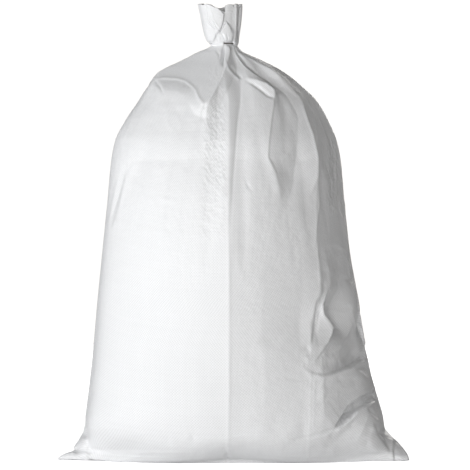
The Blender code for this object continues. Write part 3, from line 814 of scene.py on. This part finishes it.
def weave_group():
    """One tape over one under, as a tone with painted shade on the cross tapes and a height at each place
    of the cloth's map.
    """
    group = bpy.data.node_groups.new("tape_weave", "ShaderNodeTree")
    face = group.interface
    face.new_socket("Map", in_out="INPUT", socket_type="NodeSocketVector")
    face.new_socket("Tape", in_out="INPUT", socket_type="NodeSocketFloat")
    for name in ("Shade", "Height"):
        face.new_socket(name, in_out="OUTPUT", socket_type="NodeSocketFloat")
    nodes, links = group.nodes, group.links
    enter, leave = nodes.new("NodeGroupInput"), nodes.new("NodeGroupOutput")

    def math_node(operation, first, second=None, third=None):
        """One step of arithmetic on values or on the outputs of other nodes."""
        node = add_node(group, "ShaderNodeMath", operation=operation)
        for socket, value in zip(node.inputs, (first, second, third)):
            if value is None:
                continue
            if isinstance(value, (int, float)):
                socket.default_value = value
            else:
                links.new(value, socket)
        return node.outputs[0]

    apart = nodes.new("ShaderNodeSeparateXYZ")
    links.new(enter.outputs["Map"], apart.inputs[0])
    across, along = (math_node("DIVIDE", apart.outputs[k], enter.outputs["Tape"]) for k in (0, 1))
    column, row = math_node("FLOOR", across), math_node("FLOOR", along)
    in_column, in_row = math_node("FRACT", across), math_node("FRACT", along)
    over = math_node("MODULO", math_node("ADD", column, row), 2.0)

    def from_middle(value):
        """0 in the middle of a cell, and -1 and 1 at its edges."""
        return math_node("SUBTRACT", math_node("MULTIPLY", value, 2.0), 1.0)

    def arch(value):
        """1 in the middle of a cell and 0 at its edges."""
        centred = from_middle(value)
        return math_node("SUBTRACT", 1.0, math_node("MULTIPLY", centred, centred))

    def flat_top(value):
        """Near 1 over most of a cell, with a steep fall at its edges."""
        centred = math_node("ABSOLUTE", from_middle(value))
        return math_node("SUBTRACT", 1.0, math_node("POWER", centred, 6.0))

    warp_up = math_node("MULTIPLY", arch(in_row), flat_top(in_column))
    weft_up = math_node("MULTIPLY", arch(in_column), flat_top(in_row))
    mix = nodes.new("ShaderNodeMix")
    links.new(over, mix.inputs["Factor"])
    links.new(warp_up, mix.inputs["A"])
    links.new(weft_up, mix.inputs["B"])
    height = mix.outputs["Result"]

    def streak(index):
        """A random number for each tape."""
        noise = add_node(group, "ShaderNodeTexWhiteNoise", noise_dimensions="1D")
        links.new(index, noise.inputs["W"])
        return noise.outputs["Value"]

    pick = nodes.new("ShaderNodeMix")
    links.new(over, pick.inputs["Factor"])
    links.new(streak(column), pick.inputs["A"])
    links.new(streak(math_node("ADD", row, 917.0)), pick.inputs["B"])
    toned = math_node("MULTIPLY_ADD", pick.outputs["Result"], TAPE_TONES, 1.0 - TAPE_TONES)
    # Painted shade: the tapes that run across are darkened in colour, standing in for the shade of their
    # slope to the light.
    step = math_node("MULTIPLY_ADD", over, -WEFT_PAINTED_SHADE, 1.0)
    links.new(math_node("MULTIPLY", toned, step), leave.inputs["Shade"])
    links.new(height, leave.inputs["Height"])
    return group


def weave_material():
    """The woven cloth: pale tapes with a faint cloud of tone and painted shade on the tapes that run
    across, raised by the weave and by crumples.
    """
    made = bpy.data.materials.new("white_tape_weave")
    made.use_nodes = True
    tree, links = made.node_tree, made.node_tree.links
    shader = tree.nodes["Principled BSDF"]
    shader.inputs["Roughness"].default_value = 0.42
    shader.inputs["Specular IOR Level"].default_value = 0.45
    lay = add_node(tree, "ShaderNodeUVMap", uv_map="cloth_map")
    weave = add_node(tree, "ShaderNodeGroup", node_tree=weave_group())
    weave.inputs["Tape"].default_value = TAPE
    links.new(lay.outputs[0], weave.inputs["Map"])

    place = add_node(tree, "ShaderNodeTexCoord")
    cloud = add_node(tree, "ShaderNodeTexNoise", {"Scale": 9.0, "Detail": 4.0})
    links.new(place.outputs["Object"], cloud.inputs["Vector"])
    tones = {"A": (0.86, 0.865, 0.875, 1), "B": (0.93, 0.935, 0.945, 1)}
    tint = add_node(tree, "ShaderNodeMix", tones, data_type="RGBA")
    links.new(cloud.outputs["Fac"], tint.inputs["Factor"])
    shade = add_node(tree, "ShaderNodeMix", {"Factor": 1.0}, data_type="RGBA", blend_type="MULTIPLY")
    links.new(tint.outputs["Result"], shade.inputs["A"])
    links.new(weave.outputs["Shade"], shade.inputs["B"])
    links.new(shade.outputs["Result"], shader.inputs["Base Color"])

    bump = add_node(tree, "ShaderNodeBump", {"Strength": 0.6, "Distance": 0.00018})
    links.new(weave.outputs["Height"], bump.inputs["Height"])
    strength = add_node(tree, "ShaderNodeAttribute", attribute_name="crumple")
    for size, deep in CRUMPLE_SIZES:
        cells = add_node(tree, "ShaderNodeTexVoronoi", voronoi_dimensions="2D", feature="SMOOTH_F1")
        cells.distance = "CHEBYCHEV"
        cells.inputs["Scale"].default_value = size
        cells.inputs["Smoothness"].default_value = 0.35
        links.new(lay.outputs[0], cells.inputs["Vector"])
        fold = add_node(tree, "ShaderNodeBump", {"Distance": deep})
        links.new(strength.outputs["Fac"], fold.inputs["Strength"])
        links.new(cells.outputs["Distance"], fold.inputs["Height"])
        links.new(bump.outputs["Normal"], fold.inputs["Normal"])
        bump = fold
    links.new(bump.outputs["Normal"], shader.inputs["Normal"])
    return made


# The ruff: the top of the same tube, gathered above the wire into flaps that lap each other,
# with its hemmed mouth half open. The cloth bulges over the wire and hides it, but for one
# place in front and one behind, where the wire has cut in.
RUFF_ROWS = 54
NECK_ROWS = 8  # rows of the neck below, down which its folds run
RUFF_TOP = 0.0665
# Levels of the ruff: height above the wire, half width, half depth, and x of the middle.
RUFF = np.array([
    (0.000, 0.0236, 0.0191, -0.0155),
    (0.004, 0.0243, 0.0202, -0.0157),
    (0.008, 0.0252, 0.0212, -0.0162),
    (0.014, 0.0268, 0.0226, -0.0169),
    (0.020, 0.0282, 0.0236, -0.0173),
    (0.032, 0.0302, 0.0256, -0.0177),
    (0.045, 0.0320, 0.0270, -0.0182),
    (0.058, 0.0340, 0.0285, -0.0194),
    (0.0665, 0.0348, 0.0290, -0.0206),
])
# How the cloth turns in at the mouth: how far down, how far it is drawn in, and its frill.
TURNED_IN = [
    (0.0, 0.95, 0.14), (0.002, 0.90, 0.16), (0.006, 0.84, 0.24), (0.012, 0.72, 0.36),
    (0.020, 0.56, 0.5), (0.028, 0.38, 0.6), (0.034, 0.18, 0.5),
]
TURNED_IN_STEP = 0.006  # of cloth from row to row inside the mouth
# The mouth's edge along the front as (column, row) of the photograph.
RIM = [
    (196, 5), (200, 4), (203, 6), (206, 5), (210, 6), (213, 8), (219, 11), (224, 14), (224.6, 7), (228, 6),
    (232, 6), (233.5, 9), (235, 5), (238, 5), (240, 8), (246, 8),
]
# Flaps that stand out from the cloth behind them, in mm, and their corners as seen.
FLAPS = {
    "left_flap": (3.4, [
        (196, 2), (213, 2), (224.2, 14), (223.3, 21), (221.4, 26.4), (220, 31.4), (217, 34), (213, 44),
        (196, 44),
    ]),
    "middle_flap": (1.6, [
        (207, 2), (209.5, 22), (217.3, 32.7), (220, 31.4), (221.4, 26.4), (223.3, 21), (224.2, 14),
        (213, 2),
    ]),
    "crossing_flap": (4.4, [
        (226.4, 21.6), (230, 26.4), (232.4, 31.8), (232, 39), (230.4, 45), (226, 45), (225, 39),
        (221.2, 31.2),
    ]),
}
# Creases of the ruff, written as those of the cloth below it.
RUFF_CREASES = [
    ("valley", 1, [(206, 6, 1), (208, 14, 1.8), (209.5, 22, 1.8), (217.3, 32.7, 1.2)]),
    ("valley", 0.9, [(212.5, 20, 0.8), (216, 26, 1.4), (220, 31, 1.2)]),
    ("ridge", 1.2, [(211, 10, 0.6), (214, 20, 0.8), (219, 28, 0.5)]),
    ("valley", 1.1, [(220, 31.4, 1.6), (223.5, 36, 2.4), (225.6, 42, 1.4)]),
    ("valley", 1.2, [(226.6, 20.8, 1), (230.8, 26, 2.4), (233.4, 32, 3.2), (233.2, 42, 2)]),
    ("ridge", 2, [(236, 5, 1.4), (235.6, 24, 1.8), (235, 40, 0.8)]),
    ("valley", 3, [(241, 6, 2.6), (240, 26, 3), (238.5, 40, 1.2)]),
    ("ridge", 0.8, [(213, 11, 0.3), (218, 14.5, 0.6), (223, 17, 0.4)]),
    ("ridge", 0.8, [(225, 7.6, 0.7), (232, 8.8, 0.8)]),
    ("ridge", 0.8, [(225, 10.6, 0.7), (232, 11.6, 0.8)]),
    ("valley", 1.4, [(213, 26, 0.4), (216, 34, 0.9), (218, 41, 0.4)]),
    ("valley", 1.4, [(227, 34, 0.2), (228, 38, 0.9), (227.5, 42, 0.6)]),
    ("ridge", 1.2, [(219, 36, 0.4), (220, 40, 0.8), (221, 42, 0.3)]),
]
FLAP_EDGE = 0.0006  # half the width of the step at a flap's edge
WIRE_WIDE, WIRE_DEEP = 0.0210, 0.0170  # half width and half depth of the wire's turn
HIDDEN_BY, SHOWN_BY = 1.11, 0.97  # how far out the cloth lies at the wire, in shares of its turn
SHOWS_IN_FRONT, SHOWS_BEHIND = math.radians(-67), math.pi / 2  # where round the neck the wire shows
SHOWN_BAND, HIDDEN_BAND = 0.0030, 0.0016  # half the height of cloth that it draws in there, and elsewhere


def round_neck(points):
    """The angle of points round the neck, 0 on the right and positive behind."""
    return np.arctan2(points[:, :, 1] / NECK_DEEP, (points[:, :, 0] - NECK_X) / NECK_WIDE)


def cut_in(grid):
    """Lays the cloth outside the wire where it is hidden, and inside it where it shows."""
    angle = round_neck(grid)
    in_front, behind = np.abs(angle - SHOWS_IN_FRONT), np.abs(angle - SHOWS_BEHIND)
    shown = smooth_step(math.radians(26), math.radians(20), in_front)
    shown = np.maximum(shown, smooth_step(math.radians(40), math.radians(30), behind))
    up = (grid[:, :, 2] - NECK_Z) / np.where(shown > 0.5, SHOWN_BAND, HIDDEN_BAND)
    reach = np.hypot((grid[:, :, 0] - NECK_X) / WIRE_WIDE, grid[:, :, 1] / WIRE_DEEP)
    wanted = HIDDEN_BY * (1 - shown) + SHOWN_BY * shown
    grow = 1 + (wanted / reach - 1) * np.exp(-(up**2))
    out = grid.copy()
    out[:, :, 0] = NECK_X + (grid[:, :, 0] - NECK_X) * grow
    out[:, :, 1] = grid[:, :, 1] * grow
    return out


def raised(grid, flaps):
    """Lifts flaps of cloth off the cloth behind them, with a sharp step at their edges."""
    normal = grid_normals(grid)
    seen_x, seen_z = as_seen(*np.moveaxis(grid, 2, 0))
    lift = np.zeros(seen_x.shape)
    for high, corners in flaps.values():
        lift += high / 1000 * (0.5 + 0.5 * np.tanh(inside_of(corners, seen_x, seen_z) / FLAP_EDGE))
    above = smooth_step(NECK_Z + 0.001, NECK_Z + 0.006, grid[:, :, 2])
    lift *= smooth_step(0.0, 0.25, -normal[:, :, 1]) * above
    return grid + normal * lift[:, :, None]


def ruff_rows(neck_ring):
    """Rows of the ruff above the neck: up its outside, over its rim and down inside its mouth."""
    angle = round_neck(neck_ring[None])[0]
    front = smooth_step(-0.05, 0.35, -np.sin(angle))

    def ring(up, shrink, frill):
        """A row at a height above the wire, drawn in by shrink and folded by frill."""
        wide, deep, middle = (np.interp(up, RUFF[:, 0], RUFF[:, k]) for k in (1, 2, 3))
        fold = np.abs(np.cos(6.5 * angle + 1.1 * np.sin(2 * angle + 0.7) + 5 * (1 - shrink)))
        grow = shrink * (1 - frill * (1 - fold) * (1 - 0.85 * front * (shrink > 0.99)))
        x, y = middle + wide * grow * np.cos(angle), deep * grow * np.sin(angle)
        return np.stack([x, y, NECK_Z + up], axis=1)

    top = ring(np.full(angle.shape, RUFF_TOP), 1.0, 0.1)
    seen_x, _ = as_seen(top[:, 0], top[:, 1], top[:, 2])
    column = seen_x / PIXEL + AXIS_COLUMN
    rim_row = np.interp(column, *np.array(RIM).T)
    rim_up = np.minimum((FLOOR_ROW - rim_row) * PIXEL - NECK_Z, RUFF_TOP)
    back_up = RUFF_TOP - 0.0035 + 0.0030 * np.cos(5 * angle + 1.0)
    rim_up = rim_up * front + back_up * (1 - front)
    outside = []
    for k in range(1, RUFF_ROWS + 1):
        outside.append(ring(k / RUFF_ROWS * rim_up, 1.0, 0.16 * k / RUFF_ROWS))
    inside = []
    for down, shrink, frill in TURNED_IN:
        inside.append(ring(rim_up - down, shrink, frill))
    return np.array(outside), np.array(inside)


outside, inside = ruff_rows(cloth[-1])
whole = np.concatenate([cloth, outside])
ruff = slice(-(RUFF_ROWS + NECK_ROWS), None)
whole[ruff] = raised(whole[ruff], FLAPS)
whole[-RUFF_ROWS:] = creased(whole[ruff], RUFF_CREASES)[NECK_ROWS:]
whole = cut_in(whole)
whole = np.concatenate([whole, inside])
whole[:, :, 2] = np.maximum(whole[:, :, 2], 0)

# The whole cloth is one mesh, from the bottom seam to the closed end deep inside the mouth.
rows, around = whole.shape[0] - 1, whole.shape[1]
sack_mesh = bpy.data.meshes.new("woven_sack")
sack_faces = tube_faces(rows, around) + seam_faces(FRONT_CELLS, BACK_CELLS)
centre = len(whole.reshape(-1, 3))
last_ring = [rows * around + c for c in range(around)]
sack_faces += [(last_ring[c], last_ring[(c + 1) % around], centre) for c in range(around)]
points = whole.reshape(-1, 3).tolist() + [whole[-1].mean(axis=0).tolist()]
sack_mesh.from_pydata(points, [], sack_faces)
sack_mesh.update()

# Its map for the weave is the tube laid flat, in metres.
up_cloth = np.concatenate([
    rise * (FLAT_LONG - RUFF_LONG),
    FLAT_LONG - RUFF_LONG + np.linspace(0, RUFF_LONG, RUFF_ROWS + 1)[1:],
    FLAT_LONG + TURNED_IN_STEP * np.arange(1, len(inside) + 1),
])
front, back = np.arange(FRONT_CELLS) / FRONT_CELLS, 1 + np.arange(BACK_CELLS) / BACK_CELLS
round_cloth = np.concatenate([front, back]) * FLAT_WIDE
layer = sack_mesh.uv_layers.new(name="cloth_map")
corner = np.zeros(len(sack_mesh.loops), int)
sack_mesh.loops.foreach_get("vertex_index", corner)
row_of, column_of = np.divmod(np.minimum(corner, rows * around + around - 1), around)
u, v = round_cloth[column_of], up_cloth[row_of]
face_of = np.repeat(np.arange(len(sack_mesh.polygons)), [p.loop_total for p in sack_mesh.polygons])
widest = np.zeros(len(sack_mesh.polygons))
np.maximum.at(widest, face_of, u)
u = np.where((widest[face_of] > FLAT_WIDE * 1.5) & (u < FLAT_WIDE * 0.5), u + 2 * FLAT_WIDE, u)
layer.data.foreach_set("uv", np.stack([u, v], axis=1).reshape(-1))

crumple = sack_mesh.attributes.new("crumple", "FLOAT", "POINT")
crumple.data.foreach_set("value", np.append(crumples(whole).reshape(-1), CRUMPLED_INSIDE))

sack = bpy.data.objects.new("woven_sack", sack_mesh)
bpy.context.scene.collection.objects.link(sack)
sack_mesh.materials.append(weave_material())
sack_mesh.shade_smooth()
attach(sack, "root")
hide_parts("sack")


# The tie: one turn of thin annealed wire, drawn tight into the cloth, its ends twisted
# together behind the neck.
WIRE_RADIUS = 0.0010
TWIST_TURNS, TWIST_LONG, TWIST_RADIUS = 2.0, 0.020, 0.0012
TWIST_STARTS, TWIST_RISES = 0.0040, 0.0010  # behind the turn, and up to its end


def wire_path():
    """Once round the neck from the back, with both ends twisted together behind it."""
    gap, steps, pieces = 0.06 * math.pi, 90, 40
    turn = [math.pi / 2 + gap + (2 * math.pi - 2 * gap) * k / steps for k in range(steps + 1)]
    hoop = [(NECK_X + WIRE_WIDE * math.cos(a), WIRE_DEEP * math.sin(a), NECK_Z) for a in turn]
    tails = []
    start = WIRE_DEEP * math.cos(gap) + TWIST_STARTS
    for end in (0, 1):
        tail = []
        for k in range(pieces + 1):
            a = math.pi * end + 2 * math.pi * TWIST_TURNS * k / pieces
            back = start + TWIST_LONG * k / pieces
            rise_of = TWIST_RISES * (k / pieces) ** 2
            up = NECK_Z + rise_of + TWIST_RADIUS * math.sin(a)
            tail.append((NECK_X - TWIST_RADIUS * math.cos(a), back, up))
        tails.append(tail)
    return tails[0][::-1] + hoop + tails[1]


wire_curve = bpy.data.curves.new("tie_wire", "CURVE")
wire_curve.dimensions = "3D"
wire_curve.bevel_depth = WIRE_RADIUS
wire_curve.bevel_resolution = 4
wire_curve.use_fill_caps = True
run = wire_path()
spline = wire_curve.splines.new("NURBS")
spline.points.add(len(run) - 1)
for point, place in zip(spline.points, run):
    point.co = (*place, 1.0)
spline.use_endpoint_u = True
spline.order_u = 4
spline.resolution_u = 2
tie = bpy.data.objects.new("tie_wire", wire_curve)
bpy.context.scene.collection.objects.link(tie)
bpy.ops.object.select_all(action="DESELECT")
bpy.context.view_layer.objects.active = tie
tie.select_set(True)
bpy.ops.object.convert(target="MESH")
tie = bpy.context.object
bpy.ops.object.shade_smooth_by_angle(angle=math.radians(40))

wire = bpy.data.materials.new("annealed_wire")
wire.use_nodes = True
wire_tree, wire_links = wire.node_tree, wire.node_tree.links
wire_shader = wire_tree.nodes["Principled BSDF"]
wire_shader.inputs["Metallic"].default_value = 0.7
place = add_node(wire_tree, "ShaderNodeTexCoord")
scale_marks = add_node(wire_tree, "ShaderNodeTexNoise", {"Scale": 900, "Detail": 3})
wire_links.new(place.outputs["Object"], scale_marks.inputs["Vector"])
burnt = {"A": (0.055, 0.048, 0.042, 1), "B": (0.17, 0.15, 0.13, 1)}
tone = add_node(wire_tree, "ShaderNodeMix", burnt, data_type="RGBA")
wire_links.new(scale_marks.outputs["Fac"], tone.inputs["Factor"])
wire_links.new(tone.outputs["Result"], wire_shader.inputs["Base Color"])
gloss = add_node(wire_tree, "ShaderNodeMapRange", {"To Min": 0.35, "To Max": 0.6})
wire_links.new(scale_marks.outputs["Fac"], gloss.inputs["Value"])
wire_links.new(gloss.outputs["Result"], wire_shader.inputs["Roughness"])
tie.data.materials.clear()
tie.data.materials.append(wire)
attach(tie, "root")
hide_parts("neck_tie")


# The stage: a white floor and a white room, lit by four wide soft lights. The key stands to the
# left in front, one stands behind the camera, a weak one at the left and one behind the sack.
FLOOR_SIDE = 8
FLOOR_SEEN, FLOOR_GLOWS = 0.80, 0.10  # what the camera sees on top, and what shines on the sack
ROOM_SEEN, ROOM_GLOWS = 1.0, 0.08
AIMED_AT = Vector((0, 0, 0.34))  # the middle of the sack


def seen_brighter(tree, seen, glows):
    """A strength of light, higher by what is seen where the camera looks at it directly."""
    ray = add_node(tree, "ShaderNodeLightPath")
    lift = add_node(tree, "ShaderNodeMath", {1: seen, 2: glows}, operation="MULTIPLY_ADD")
    tree.links.new(ray.outputs["Is Camera Ray"], lift.inputs[0])
    return lift.outputs[0]


bpy.ops.mesh.primitive_plane_add(size=FLOOR_SIDE, location=(0, 0, 0))
floor = bpy.context.object
floor.name = "pale_floor"
paper = bpy.data.materials.new("white_paper")
paper.use_nodes = True
paper_shader = paper.node_tree.nodes["Principled BSDF"]
paper_shader.inputs["Base Color"].default_value = (0.9, 0.9, 0.9, 1)
paper_shader.inputs["Roughness"].default_value = 0.9
paper_shader.inputs["Emission Color"].default_value = (1, 1, 1, 1)
glow = seen_brighter(paper.node_tree, FLOOR_SEEN, FLOOR_GLOWS)
paper.node_tree.links.new(glow, paper_shader.inputs["Emission Strength"])
floor.data.materials.append(paper)

room = bpy.data.worlds.new("white_room")
bpy.context.scene.world = room
room.use_nodes = True
sky = room.node_tree.nodes["Background"]
sky.inputs["Color"].default_value = (1.0, 0.985, 0.965, 1)
room.node_tree.links.new(seen_brighter(room.node_tree, ROOM_SEEN, ROOM_GLOWS), sky.inputs["Strength"])


def add_softbox(name, azimuth, far, high, wide, tall, watts, colour):
    """A soft light turned to the sack; azimuth in degrees, 0 in front and negative to the left."""
    turn = math.radians(azimuth)
    place = Vector((math.sin(turn) * far, -math.cos(turn) * far, high))
    bpy.ops.object.light_add(type="AREA", location=place)
    lamp = bpy.context.object
    lamp.name = name
    lamp.rotation_euler = (AIMED_AT - place).to_track_quat("-Z", "Y").to_euler()
    lamp.data.shape = "RECTANGLE"
    lamp.data.size, lamp.data.size_y = wide, tall
    lamp.data.energy = watts
    lamp.data.color = colour


add_softbox("key_softbox", -50, 3.3, 0.65, 3.0, 1.3, 59, (0.97, 0.985, 1.0))
add_softbox("front_softbox", 0, 4.6, 0.8, 3.6, 1.6, 85, (1.0, 0.99, 0.975))
add_softbox("side_softbox", -98, 3.4, 0.8, 2.0, 1.4, 12, (0.98, 0.99, 1.0))
add_softbox("back_softbox", 172, 3.6, 1.4, 3.0, 1.6, 52, (1.0, 0.985, 0.965))
bpy.context.scene.view_settings.view_transform = "Standard"
